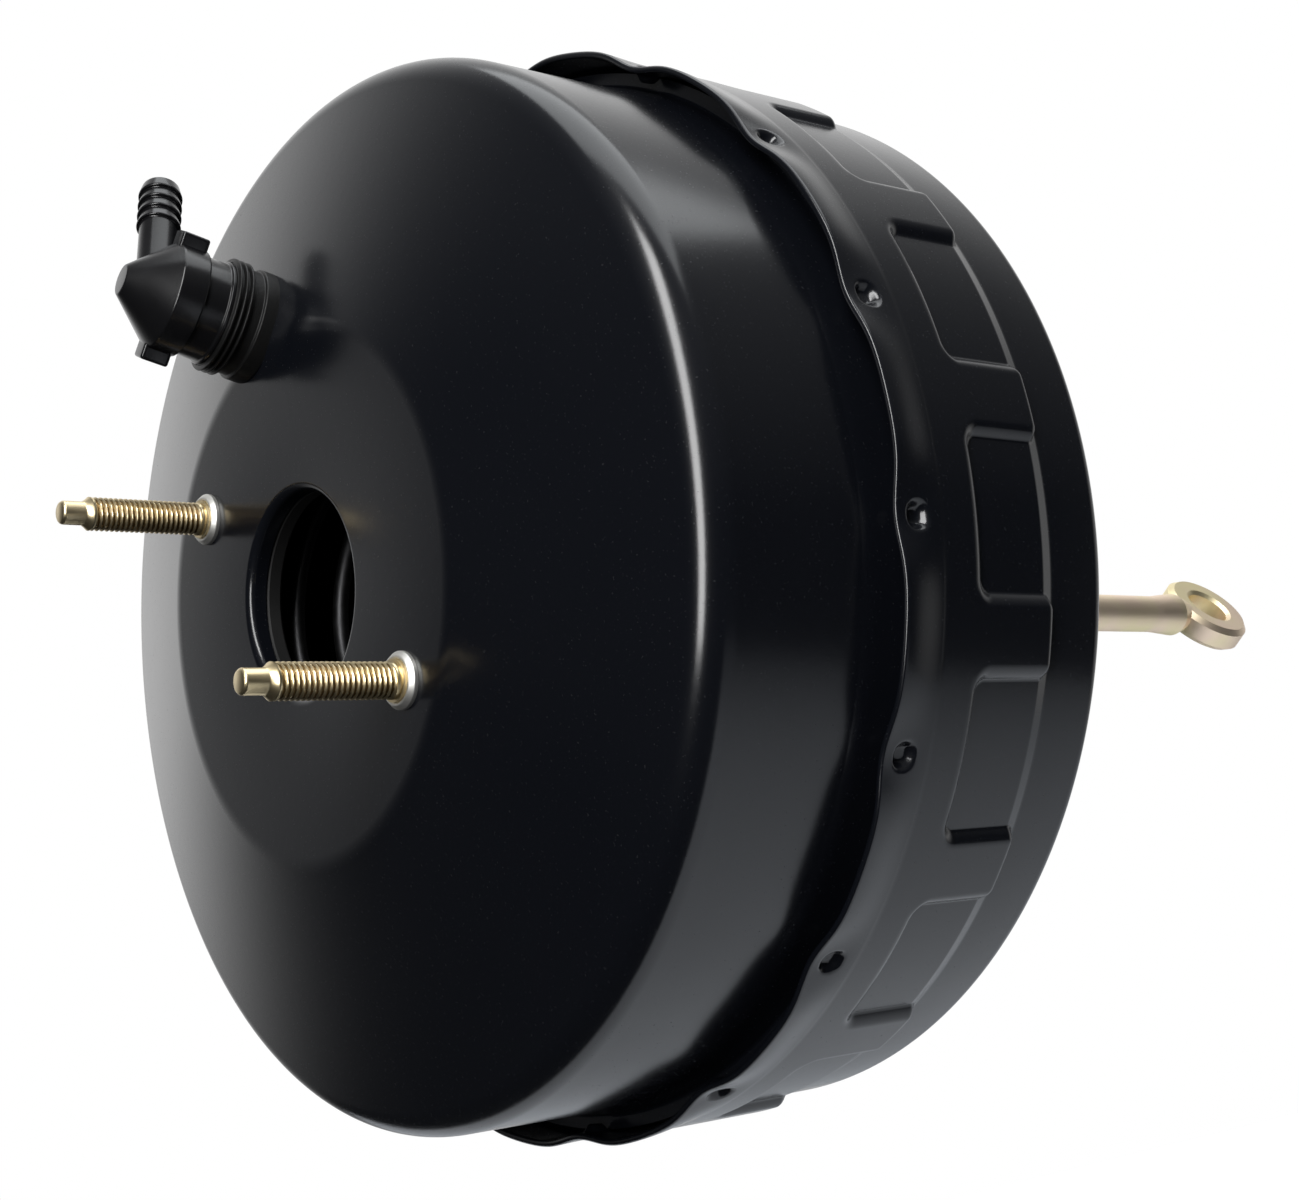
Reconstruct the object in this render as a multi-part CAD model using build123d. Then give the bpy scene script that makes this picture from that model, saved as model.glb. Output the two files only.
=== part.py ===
from build123d import *
import math
import os

# Tandem vacuum brake booster. Millimetres, X is the booster's axis and the front is -X.
# The origin is the centre of the four firewall studs, on the rear mounting face.

# Clearances
RUNNING_FIT = 0.05
CLEARANCE = 0.3
SEAT_GAP = 0.02

# Shells, pressed from steel sheet
SHELL_T = 1.5
DRUM_R = 123.2
DRUM_CORNER_R = 8.65
PLATEAU_R = 61.1
DOME_DEPTH = 17.7
FRONT_DEPTH = 70.5
FLARE_LENGTH = 13.0
FLARE_RISE = 1.3
FLANGE_WIDTH = 4.8
MASTER_HOLE_R = 23.5
MASTER_HOLE_ROLL = 4.5
MASTER_HOLE_EDGE_R = 2.0
LAND_GAP = 0.5
LIP_RISE = 1.6
LIP_OVERHANG = 10.5
LIP_TAPER = 12.0
POCKET_DEPTH = 3.0
RING_LENGTH = 20.0
POCKET_LENGTH = 21.5
POCKET_COUNT = 16
POCKET_ANGLE = 14.5
POCKET_FLOOR_SHARE = 0.86
POCKET_CORNER_R = 4.5
LANCE_COUNT = 17
LANCE_WIDTH = 8.0
LANCE_LENGTH = 6.0
LANCE_DEPTH = 2.6
LANCE_RISE = 0.4
PRESS_DRAFT = 24.0
REAR_CORNER_R = 4.0
REAR_DISH = 5.0
PAD_RISE = 12.0
PAD_R = 64.0
PAD_SHOULDER = 11.0
NECK_R = 27.0
NECK_LENGTH = 28.0
NECK_ROLL_R = 24.5

# Master cylinder studs, check valve and firewall studs
STUD_D = 8.0
STUD_TIP = 37.7
STUD_Y = 46.0
STUD_Z = 15.6
STUD_DOG_D = 5.6
STUD_DOG_LENGTH = 5.5
STUD_SHANK_D = 9.2
STUD_CHAMFER = 1.2
STUD_HEAD_D = 14.0
STUD_HEAD_T = 3.0
COLLAR_D = 12.4
COLLAR_T = 2.0
SHANK_PROUD = 0.6
STUD_PLATE_T = 2.0
STUD_PLATE_INSET = 3.1
SEAL_SEAT_R = MASTER_HOLE_R + SHELL_T + 3.0
SEAL_LENGTH = 4.4
SEAL_EDGE = 0.8
FIREWALL_STUD_LENGTH = 24.0
FIREWALL_SPACING_Y = 80.0
FIREWALL_SPACING_Z = 70.0
FIREWALL_HEAD_D = 16.0
REAR_PLATE_T = 1.5
REAR_PLATE_INSET = 5.0
REAR_PLATE_BORE_R = 37.0
VALVE_Y = 32.0
VALVE_Z = 61.7
VALVE_HOLE_R = 9.0
GROMMET_R = 14.0
GROMMET_BORE_R = 7.0
GROMMET_PROUD = 9.6
GROMMET_RIBS = 3
GROMMET_RIB_PITCH = 1.5
VALVE_PAD_R = GROMMET_R + 0.3
VALVE_PAD_PROUD = 0.3
CHECK_BODY_R = 12.0
CHECK_BODY_LENGTH = 6.5
CHECK_CAP_R = 13.0
CHECK_CAP_LENGTH = 6.4
CHECK_CONE_LENGTH = 10.2
CHECK_TIP_R = 3.6
CHECK_WALL = 1.8
CHECK_SEAT_AHEAD = 2.4
CHECK_SEAT_BORE_R = 4.0
CHECK_DISC_R = 7.0
CHECK_DISC_T = 1.8
CHECK_TRAVEL = 1.8
CHECK_SPRING_R = 3.4
CHECK_SPRING_SHUT = 4.5
LUG_ANGLE = 11.0
LUG_WIDTH = 6.4
LUG_LENGTH = 6.8
LUG_RISE = 2.6
BARB_AHEAD = 8.4
BARB_R = 4.5
BARB_RIDGE_R = 5.2
BARB_BORE_R = 2.6
CAP_BORE_R = 3.0
BARB_REACH = 34.0
BARB_LEAN = 35.0
BARB_RIDGES = 4
RIDGE_PITCH = 3.4

# Diaphragms, plates and divider
TRAVEL = 32.0
RUBBER_T = 1.6
PRIMARY_BEAD = 6.0
SECONDARY_BEAD = 5.0
DIVIDER_T = 1.5
STROKE_SPARE = 0.6
DIVIDER_HUB_R = 30.0
DIVIDER_HUB_LENGTH = 9.0
PLATE_T = 1.5
PLATE_INSET = 11.2
PLATE_RIM = 6.0
SECONDARY_HUB_R = 40.0
SECONDARY_RING_R = 50.0
SECONDARY_DISH = 9.0

# Valve body and what it holds
HUB_FLANGE_R = 30.0
HUB_FLANGE_T = 8.0
HUB_SEAT_R = 23.5
MID_TUBE_R = 22.0
REAR_SEAT_R = 20.5
REAR_TUBE_R = 19.0
REAR_TUBE_REACH = 67.0
FRONT_BORE_R = 15.0
REACTION_T = 6.0
ROD_HEAD_T = 5.0
OUTPUT_ROD_R = 6.5
OUTPUT_TIP_DEPTH = 18.0
PLUNGER_R = 9.0
PLUNGER_HEAD_R = 11.0
PLUNGER_NECK_R = 6.0
PLUNGER_HEAD_T = 14.0
PLUNGER_STEM = 15.0
PLUNGER_STROKE = 2.2
HEAD_BORE_R = 13.0
POPPET_BORE_R = 16.0
POPPET_GAP = 0.1
POPPET_LENGTH = 15.0
POPPET_BEAD = 3.5
POPPET_RETAINER_T = 1.2
POPPET_WALL_R = 12.0
KEY_T = 3.0
KEY_WIDTH = 20.0
KEY_REACH = 34.0
KEY_WALL = 1.2
BALL_R = 6.0
ROD_NECK_R = 4.0
ROD_NECK_LENGTH = 22.0
ROD_R = 5.8
ROD_ROOT_R = 6.8
EYE_REACH = 200.0
EYE_R = 14.5
EYE_HOLE_R = 7.0
EYE_HOLE_CHAMFER = 1.1
EYE_T = 8.5
EYE_ROLL = 55.0
FILTER_BORE_R = 9.5
FILTER_LENGTH = 17.0
FILTER_RECESS = 5.0
REAR_SEAL_LENGTH = 9.0
REAR_BUSH_LENGTH = 5.0

# Springs
RETURN_WIRE_R = 2.0
RETURN_FRONT_R = 34.0
RETURN_REAR_R = 27.5
RETURN_TURNS = 5.5

# Boot
BOOT_T = 1.4
BOOT_RIDGE_R = 35.0
BOOT_VALLEY_R = 29.5
BOOT_FOLDS = 5

# Radii that follow from the sizes
FLANGE_R = DRUM_R + FLANGE_WIDTH
LAND_R = FLANGE_R + SHELL_T + LAND_GAP
LIP_R = LAND_R + LIP_RISE
RING_R = LAND_R - POCKET_DEPTH
PLATE_R = DRUM_R - PLATE_INSET
STUD_PLATE_R = PLATEAU_R - STUD_PLATE_INSET
REAR_PLATE_R = PAD_R - REAR_PLATE_INSET

# Stations along X that follow from the sizes
PAD_X = 0.0
REAR_WALL_X = PAD_X - PAD_RISE
STEP_X = REAR_WALL_X - RING_LENGTH
POCKET_X = STEP_X - POCKET_LENGTH
LEDGE_X = POCKET_X - SHELL_T
DIVIDER_FLANGE_X = LEDGE_X - SECONDARY_BEAD - DIVIDER_T
FLANGE_BACK_X = DIVIDER_FLANGE_X - PRIMARY_BEAD
FLANGE_FACE_X = FLANGE_BACK_X - SHELL_T
LIP_X = FLANGE_BACK_X - LIP_OVERHANG
FRONT_X = FLANGE_BACK_X - FRONT_DEPTH
SEAL_BORE_R = DIVIDER_HUB_R - DIVIDER_T

INNER_PAD_X = PAD_X - SHELL_T
KEY_X = INNER_PAD_X - CLEARANCE - KEY_T
SECONDARY_HUB_X = KEY_X - CLEARANCE - KEY_WALL - RUBBER_T - PLATE_T
SECONDARY_RING_X = SECONDARY_HUB_X - SECONDARY_DISH
DIVIDER_WEB_X = SECONDARY_RING_X - PLATE_RIM - TRAVEL - STROKE_SPARE - DIVIDER_T
DIVIDER_HUB_END_X = DIVIDER_WEB_X + DIVIDER_HUB_LENGTH
PRIMARY_PLATE_X = DIVIDER_WEB_X - CLEARANCE - RUBBER_T - PLATE_T
HUB_FRONT_X = PRIMARY_PLATE_X - HUB_FLANGE_T
NECK_END_X = PAD_X + NECK_LENGTH
PLUNGER_NECK_X = KEY_X - PLUNGER_STROKE
HEAD_BORE_X = KEY_X + KEY_T
HEAD_X = HEAD_BORE_X + PLUNGER_STROKE + CLEARANCE
BALL_X = HEAD_X + PLUNGER_HEAD_T / 2
PLUNGER_END_X = HEAD_X + PLUNGER_HEAD_T
DISC_BACK_X = PLUNGER_NECK_X - PLUNGER_STEM
DISC_FRONT_X = DISC_BACK_X - REACTION_T
POPPET_BORE_X = PLUNGER_END_X - 1.0
POPPET_X = PLUNGER_END_X + POPPET_GAP
POPPET_BEAD_X = POPPET_X + POPPET_LENGTH
POPPET_END_X = POPPET_BEAD_X + POPPET_BEAD
TUBE_END_X = PAD_X + REAR_TUBE_REACH
FILTER_END_X = TUBE_END_X - FILTER_RECESS
FILTER_X = FILTER_END_X - FILTER_LENGTH

CHECK_FRONT_X = FRONT_X - GROMMET_PROUD
CHECK_SEAT_X = CHECK_FRONT_X - CHECK_SEAT_AHEAD
CHECK_JOINT_X = CHECK_FRONT_X - CHECK_BODY_LENGTH
CHECK_DISC_X = CHECK_SEAT_X - SEAT_GAP - CHECK_DISC_T
CHECK_FLOOR_X = CHECK_DISC_X - CHECK_TRAVEL - CHECK_SPRING_SHUT
CHECK_BORE_R = CHECK_BODY_R - CHECK_WALL


def turned(*outline):
    """Solid of revolution about the booster's axis, from a closed (x, r) outline."""
    return revolve(make_face(Polyline(*outline, close=True)), Axis.X)


def skin(outline, radii, thickness=SHELL_T, side=Side.RIGHT):
    """Sheet of even thickness, revolved, on one side of an (x, r) outline."""
    path = FilletPolyline(*outline, radius=radii)
    section = make_face(offset(path, amount=thickness, side=side))
    return revolve(section, Axis.X)


def filled(outline, radii):
    """Solid between an open (x, r) outline and the axis."""
    path = FilletPolyline(*outline, radius=radii)
    first = outline[0]
    last = outline[-1]
    closing = Polyline(last, (last[0], 0), (first[0], 0), first)
    return revolve(make_face(path + closing), Axis.X)


def rod(x0, x1, radius):
    """Round bar on the axis between two stations."""
    return Pos((x0 + x1) / 2, 0, 0) * Rot(0, 90, 0) * Cylinder(radius, abs(x1 - x0))


def spring(x0, x1, r0, r1, wire_r, turns):
    """Round-wire coil between two planes, with its ends ground flat."""
    height = x1 - x0
    cone = math.degrees(math.atan2(r1 - r0, height))
    path = Helix(pitch=height / turns, height=height, radius=r0, cone_angle=cone)
    section = Plane(origin=path @ 0, z_dir=path % 0) * Circle(wire_r)
    coil = Pos(x0, 0, 0) * Rot(0, 90, 0) * sweep(section, path=path, is_frenet=True)
    reach = 2 * max(r0, r1) + 4 * wire_r
    return coil & (Pos((x0 + x1) / 2, 0, 0) * Box(height - 2 * SEAT_GAP, reach, reach))


def around(count, first_angle, shape):
    """Copies of a shape turned about the axis."""
    step = 360 / count
    return [Rot(first_angle + index * step, 0, 0) * shape for index in range(count)]


def pressing(x0, x1, width, floor_r, corner_r, grow=0.0):
    """Tool that presses the shell wall inward: sloped sides, a round floor, rounded front corners."""
    drop = 1.5
    inset = drop * math.tan(math.radians(PRESS_DRAFT))
    base_r = floor_r - grow - drop
    rise = LIP_R + 3 - base_r
    front_x = x0 - grow + inset
    length = x1 - front_x + 2 * corner_r
    outline = RectangleRounded(length, width + 2 * grow - 2 * inset, corner_r)
    tool = extrude(Pos(front_x + length / 2, 0, base_r) * outline, amount=rise, taper=-PRESS_DRAFT)
    tool = split(tool, bisect_by=Plane(origin=(x1, 0, 0), z_dir=(-1, 0, 0)), keep=Keep.TOP)
    return tool - rod(x0 - 30, x1 + 30, floor_r - grow)


def stud_places():
    """The two master cylinder studs, on a slanted line through the axis."""
    return [(STUD_Y, STUD_Z), (-STUD_Y, -STUD_Z)]


def firewall_places():
    """The four firewall studs, on a rectangle."""
    half_y = FIREWALL_SPACING_Y / 2
    half_z = FIREWALL_SPACING_Z / 2
    return [(half_y, half_z), (-half_y, half_z), (-half_y, -half_z), (half_y, -half_z)]


def check_axis(shape):
    """Moves a shape made on the booster's axis to the check valve's, square to the dome."""
    dome_slope = DOME_DEPTH / (DRUM_R - PLATEAU_R)
    lean = math.degrees(math.atan(dome_slope))
    turn = math.degrees(math.atan2(VALVE_Y, VALVE_Z))
    dome_x = FRONT_X + dome_slope * (math.hypot(VALVE_Y, VALVE_Z) - PLATEAU_R)
    tilt = Rot(-turn, 0, 0) * Rot(0, lean, 0) * Rot(turn, 0, 0)
    return Pos(dome_x, VALVE_Y, VALVE_Z) * tilt * Pos(-FRONT_X - VALVE_PAD_PROUD, 0, 0) * shape


def front_outline():
    drum_end_x = FLANGE_FACE_X - FLARE_LENGTH
    return [
        (FRONT_X + MASTER_HOLE_ROLL, MASTER_HOLE_R),
        (FRONT_X, MASTER_HOLE_R),
        (FRONT_X, PLATEAU_R),
        (FRONT_X + DOME_DEPTH, DRUM_R),
        (drum_end_x, DRUM_R),
        (FLANGE_FACE_X, DRUM_R + FLARE_RISE),
        (FLANGE_FACE_X, FLANGE_R),
    ]


def front_shell():
    """Front shell: hole for the master cylinder, plateau, dome, drum and crimped flange."""
    shell = skin(front_outline(), [MASTER_HOLE_EDGE_R, 6.0, DRUM_CORNER_R, 5.0, 1.0])
    pad_depth = 4.0
    pad = rod(FRONT_X, FRONT_X + pad_depth, VALVE_PAD_R)
    hollow = rod(FRONT_X + SHELL_T, FRONT_X + pad_depth, VALVE_PAD_R - SHELL_T)
    dome = filled(front_outline()[1:5], [6.0, DRUM_CORNER_R])
    shell = shell + (check_axis(pad) - dome)
    inner_dome = dome - shell
    shell = shell - (check_axis(hollow) - inner_dome)
    shell = shell - check_axis(rod(FRONT_X - 5, FRONT_X + 10, VALVE_HOLE_R))
    for y, z in stud_places():
        shell = shell - Pos(0, y, z) * rod(FRONT_X - 5, FRONT_X + 5, STUD_SHANK_D / 2 + SEAT_GAP)
    return shell


def rear_outline():
    return [
        (LIP_X, LIP_R),
        (LIP_X + LIP_TAPER, LAND_R),
        (STEP_X, LAND_R),
        (STEP_X + 1.5, RING_R),
        (REAR_WALL_X, RING_R),
        (REAR_WALL_X + REAR_DISH, PAD_R + PAD_SHOULDER),
        (PAD_X, PAD_R),
        (PAD_X, NECK_R),
        (NECK_END_X, NECK_R),
        (NECK_END_X, NECK_ROLL_R),
    ]


def rear_shell():
    """Rear shell: crimping lances, divider pockets, rear ring, mounting pad and neck."""
    radii = [10.0, 1.0, 1.0, REAR_CORNER_R, 5.0, 5.0, 4.0, 1.4]
    sheet = skin(rear_outline(), radii)
    outer = filled(rear_outline(), radii)
    cavity = outer - sheet
    pocket_width = math.radians(POCKET_ANGLE) * RING_R * POCKET_FLOOR_SHARE
    lance_x = FLANGE_FACE_X - LANCE_LENGTH - SEAT_GAP
    lance_floor = LAND_R + LANCE_RISE - LANCE_DEPTH
    pocket = pressing(POCKET_X, STEP_X + 2, pocket_width, RING_R, POCKET_CORNER_R)
    pocket_grown = pressing(POCKET_X, STEP_X + 2, pocket_width, RING_R, POCKET_CORNER_R, SHELL_T)
    lance = pressing(lance_x, lance_x + LANCE_LENGTH, LANCE_WIDTH, lance_floor, 1.5)
    lance_grown = pressing(lance_x, lance_x + LANCE_LENGTH, LANCE_WIDTH, lance_floor, 1.5, SHELL_T)
    outer = outer - around(POCKET_COUNT, 180 / POCKET_COUNT, pocket)
    outer = outer - around(LANCE_COUNT, 90 + 180 / LANCE_COUNT, lance)
    cavity = cavity - around(POCKET_COUNT, 180 / POCKET_COUNT, pocket_grown)
    cavity = cavity - around(LANCE_COUNT, 90 + 180 / LANCE_COUNT, lance_grown)
    shell = outer - cavity
    for y, z in firewall_places():
        shell = shell - Pos(0, y, z) * rod(PAD_X - 5, PAD_X + 5, STUD_SHANK_D / 2 + SEAT_GAP)
    return shell


def master_cylinder_studs():
    """Two studs: head behind the stud plate, knurled shank, threaded bar and dog point."""
    tip_x = FRONT_X - STUD_TIP
    dog_x = tip_x + STUD_DOG_LENGTH
    shank_x = FRONT_X - COLLAR_T - SHANK_PROUD
    plate_x = FRONT_X + SHELL_T + STUD_PLATE_T
    stud = turned(
        (tip_x, 0),
        (tip_x, STUD_DOG_D / 2 - 0.6),
        (tip_x + 0.6, STUD_DOG_D / 2),
        (dog_x, STUD_DOG_D / 2),
        (dog_x + STUD_CHAMFER, STUD_D / 2),
        (shank_x, STUD_D / 2),
        (shank_x, STUD_SHANK_D / 2),
        (plate_x, STUD_SHANK_D / 2),
        (plate_x, STUD_HEAD_D / 2),
        (plate_x + STUD_HEAD_T, STUD_HEAD_D / 2),
        (plate_x + STUD_HEAD_T, 0),
    )
    return Compound(children=[Pos(0, y, z) * stud for y, z in stud_places()])


def stud_collars():
    """Swaged collars that hold the two studs on the plateau."""
    bore_r = STUD_SHANK_D / 2 + SEAT_GAP
    front_x = FRONT_X - COLLAR_T
    edge = 0.5
    collar = turned(
        (FRONT_X, bore_r),
        (FRONT_X, COLLAR_D / 2),
        (front_x + edge, COLLAR_D / 2),
        (front_x, COLLAR_D / 2 - edge),
        (front_x, bore_r),
    )
    return Compound(children=[Pos(0, y, z) * collar for y, z in stud_places()])


def stud_plate():
    """Reinforcing plate behind the plateau, with the cup that centres the return spring."""
    x0 = FRONT_X + SHELL_T
    x1 = x0 + STUD_PLATE_T
    cup_r = RETURN_FRONT_R + RETURN_WIRE_R + 0.6
    plate = turned(
        (x0, SEAL_SEAT_R),
        (x0, STUD_PLATE_R),
        (x1, STUD_PLATE_R),
        (x1, cup_r + 1.5),
        (x1 + 3.0, cup_r + 1.5),
        (x1 + 3.0, cup_r),
        (x1, cup_r),
        (x1, SEAL_SEAT_R),
    )
    for y, z in stud_places():
        plate = plate - Pos(0, y, z) * rod(x0 - 1, x1 + 1, STUD_SHANK_D / 2 + SEAT_GAP)
    valve_room = rod(FRONT_X - 5, FRONT_X + 15, GROMMET_R + 1)
    return plate - check_axis(valve_room)


def front_seal():
    """Seal ring for the master cylinder, behind the rolled edge of the hole."""
    x0 = FRONT_X + MASTER_HOLE_ROLL + SEAT_GAP
    x1 = x0 + SEAL_LENGTH
    lip_r = MASTER_HOLE_R + SEAL_EDGE
    outer_r = SEAL_SEAT_R - SEAT_GAP
    return turned(
        (x0, lip_r),
        (x0 + SEAL_EDGE, MASTER_HOLE_R),
        (x1 - SEAL_EDGE, MASTER_HOLE_R),
        (x1, lip_r),
        (x1, outer_r),
        (x0, outer_r),
    )


def firewall_studs():
    """Four studs: head on the rear plate, shank flush with the pad, threaded bar."""
    head_x = INNER_PAD_X - REAR_PLATE_T
    end_x = PAD_X + FIREWALL_STUD_LENGTH
    stud = turned(
        (head_x - STUD_HEAD_T, 0),
        (head_x - STUD_HEAD_T, FIREWALL_HEAD_D / 2),
        (head_x, FIREWALL_HEAD_D / 2),
        (head_x, STUD_SHANK_D / 2),
        (PAD_X, STUD_SHANK_D / 2),
        (PAD_X, STUD_D / 2),
        (end_x - STUD_CHAMFER, STUD_D / 2),
        (end_x, STUD_D / 2 - STUD_CHAMFER),
        (end_x, 0),
    )
    return Compound(children=[Pos(0, y, z) * stud for y, z in firewall_places()])


def rear_plate():
    x1 = INNER_PAD_X
    x0 = x1 - REAR_PLATE_T
    plate = turned(
        (x0, REAR_PLATE_BORE_R),
        (x0, REAR_PLATE_R),
        (x1, REAR_PLATE_R),
        (x1, REAR_PLATE_BORE_R),
    )
    for y, z in firewall_places():
        plate = plate - Pos(0, y, z) * rod(x0 - 1, x1 + 1, STUD_SHANK_D / 2 + SEAT_GAP)
    return plate


def primary_diaphragm():
    """Front diaphragm: bead in the crimp, a rolling wall along the divider, web behind the plate."""
    bead_x = FLANGE_BACK_X
    flange_x = DIVIDER_FLANGE_X
    wall_r = DRUM_R - 2.0
    web_x = PRIMARY_PLATE_X + PLATE_T
    back_x = web_x + RUBBER_T
    bead_r = FLANGE_R
    return turned(
        (bead_x, wall_r),
        (bead_x, bead_r),
        (flange_x, bead_r),
        (flange_x, wall_r),
        (back_x, wall_r),
        (back_x, HUB_SEAT_R),
        (web_x, HUB_SEAT_R),
        (web_x, wall_r - RUBBER_T),
        (bead_x + 1.5, wall_r - RUBBER_T),
    )


def secondary_web():
    """Rear side of the secondary plate, which the diaphragm lies against."""
    back_x = SECONDARY_RING_X + PLATE_T
    hub_x = SECONDARY_HUB_X + PLATE_T
    return [
        (back_x, PLATE_R),
        (back_x, SECONDARY_RING_R),
        (hub_x, SECONDARY_HUB_R),
        (hub_x, REAR_SEAT_R + SEAT_GAP),
    ]


def secondary_diaphragm():
    """Rear diaphragm: bead between the divider and the pocket ledges, web behind the plate."""
    bead_x = DIVIDER_FLANGE_X + DIVIDER_T
    ledge_r = RING_R - SHELL_T
    wall_r = ledge_r - CLEARANCE
    slope = (FLANGE_R - ledge_r) * math.tan(math.radians(PRESS_DRAFT)) + 0.1
    web_x = SECONDARY_RING_X + PLATE_T
    wall = turned(
        (bead_x, wall_r - RUBBER_T),
        (bead_x, FLANGE_R),
        (LEDGE_X - slope, FLANGE_R),
        (LEDGE_X - SEAT_GAP, ledge_r),
        (LEDGE_X - SEAT_GAP, wall_r),
        (web_x + RUBBER_T, wall_r),
        (web_x + RUBBER_T, PLATE_R),
        (web_x, PLATE_R),
        (web_x, wall_r - RUBBER_T),
    )
    outline = secondary_web()
    return wall + skin(outline, [2.0, 2.0], RUBBER_T, Side.LEFT)


def primary_plate():
    back_x = PRIMARY_PLATE_X + PLATE_T
    outline = [(PRIMARY_PLATE_X - PLATE_RIM, PLATE_R), (back_x, PLATE_R), (back_x, HUB_SEAT_R + SEAT_GAP)]
    return skin(outline, [3.0], PLATE_T)


def secondary_plate():
    rim = (SECONDARY_RING_X - PLATE_RIM, PLATE_R)
    return skin([rim] + secondary_web(), [3.0, 2.0, 2.0], PLATE_T)


def divider():
    """Fixed wall between the two chambers, with the collar that holds its seal."""
    flange_x = DIVIDER_FLANGE_X
    skirt_r = DRUM_R - 0.5
    return turned(
        (flange_x, skirt_r - DIVIDER_T),
        (flange_x, FLANGE_R),
        (flange_x + DIVIDER_T, FLANGE_R),
        (flange_x + DIVIDER_T, skirt_r),
        (DIVIDER_WEB_X + DIVIDER_T, skirt_r),
        (DIVIDER_WEB_X + DIVIDER_T, DIVIDER_HUB_R),
        (DIVIDER_HUB_END_X, DIVIDER_HUB_R),
        (DIVIDER_HUB_END_X, SEAL_BORE_R),
        (DIVIDER_WEB_X, SEAL_BORE_R),
        (DIVIDER_WEB_X, skirt_r - DIVIDER_T),
    )


def divider_seal():
    x0 = DIVIDER_WEB_X + 0.4
    x1 = DIVIDER_HUB_END_X - 0.4
    bore_r = MID_TUBE_R + RUNNING_FIT
    return turned(
        (x0, bore_r + 1.5),
        (x0 + 1.5, bore_r),
        (x0 + 3.5, bore_r),
        (x0 + 4.5, bore_r + 1.2),
        (x1, bore_r + 1.2),
        (x1, SEAL_BORE_R),
        (x0, SEAL_BORE_R),
    )


def valve_body():
    """Moulded valve body: hub flange, tube through the divider, key window and rear tube."""
    outer = turned(
        (HUB_FRONT_X, 0),
        (HUB_FRONT_X, HUB_FLANGE_R),
        (PRIMARY_PLATE_X, HUB_FLANGE_R),
        (PRIMARY_PLATE_X, HUB_SEAT_R),
        (PRIMARY_PLATE_X + PLATE_T + RUBBER_T, HUB_SEAT_R),
        (PRIMARY_PLATE_X + PLATE_T + RUBBER_T, MID_TUBE_R),
        (SECONDARY_HUB_X, MID_TUBE_R),
        (SECONDARY_HUB_X, REAR_SEAT_R),
        (KEY_X - CLEARANCE, REAR_SEAT_R),
        (KEY_X - CLEARANCE, REAR_TUBE_R),
        (TUBE_END_X, REAR_TUBE_R),
        (TUBE_END_X, 0),
    )
    bore = turned(
        (HUB_FRONT_X - 1, 0),
        (HUB_FRONT_X - 1, FRONT_BORE_R),
        (DISC_BACK_X, FRONT_BORE_R),
        (DISC_BACK_X, PLUNGER_R + RUNNING_FIT),
        (HEAD_BORE_X, PLUNGER_R + RUNNING_FIT),
        (HEAD_BORE_X, HEAD_BORE_R),
        (POPPET_BORE_X, HEAD_BORE_R),
        (POPPET_BORE_X, POPPET_BORE_R),
        (TUBE_END_X + 1, POPPET_BORE_R),
        (TUBE_END_X + 1, 0),
    )
    window = Pos(KEY_X + KEY_T / 2, 0, 0) * Box(KEY_T + 2 * CLEARANCE, KEY_WIDTH + 0.4, 2 * KEY_REACH)
    return outer - bore - window


def reaction_disc():
    return rod(DISC_FRONT_X, DISC_BACK_X, FRONT_BORE_R - SEAT_GAP)


def output_rod():
    """Output rod: round tip for the master cylinder piston, and a head on the reaction disc."""
    tip_x = FRONT_X + OUTPUT_TIP_DEPTH
    head_x = DISC_FRONT_X - ROD_HEAD_T
    nose_r = 3.5
    return turned(
        (tip_x, 0),
        (tip_x + 0.5, nose_r - 1.0),
        (tip_x + 1.5, nose_r),
        (tip_x + 8.0, nose_r),
        (tip_x + 10.0, OUTPUT_ROD_R),
        (head_x - 3.0, OUTPUT_ROD_R),
        (head_x, OUTPUT_ROD_R + 2.0),
        (head_x, FRONT_BORE_R - CLEARANCE),
        (DISC_FRONT_X, FRONT_BORE_R - CLEARANCE),
        (DISC_FRONT_X, 0),
    )


def output_rod_retainer():
    """Pressed cup that holds the output rod's head and seats the return spring."""
    end_x = DISC_FRONT_X - ROD_HEAD_T - SEAT_GAP
    bore_r = FRONT_BORE_R - 1.2
    return turned(
        (HUB_FRONT_X - 1.2, bore_r),
        (HUB_FRONT_X - 1.2, HUB_FLANGE_R),
        (HUB_FRONT_X, HUB_FLANGE_R),
        (HUB_FRONT_X, FRONT_BORE_R - SEAT_GAP),
        (end_x, FRONT_BORE_R - SEAT_GAP),
        (end_x, bore_r),
    )


def plunger():
    """Air valve plunger: stem behind the reaction disc, key groove, ball socket and valve seat."""
    front_x = DISC_BACK_X + PLUNGER_STROKE + POPPET_GAP
    body = turned(
        (front_x, 0),
        (front_x, PLUNGER_R),
        (PLUNGER_NECK_X - CLEARANCE, PLUNGER_R),
        (PLUNGER_NECK_X - CLEARANCE, PLUNGER_NECK_R),
        (HEAD_X, PLUNGER_NECK_R),
        (HEAD_X, PLUNGER_HEAD_R),
        (PLUNGER_END_X, PLUNGER_HEAD_R),
        (PLUNGER_END_X, 0),
    )
    socket = Pos(BALL_X, 0, 0) * Sphere(BALL_R + RUNNING_FIT)
    mouth = turned(
        (BALL_X + 3.5, 0),
        (BALL_X + 3.5, BALL_R - 0.8),
        (PLUNGER_END_X + 1, BALL_R + 1.4),
        (PLUNGER_END_X + 1, 0),
    )
    return body - socket - mouth


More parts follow.
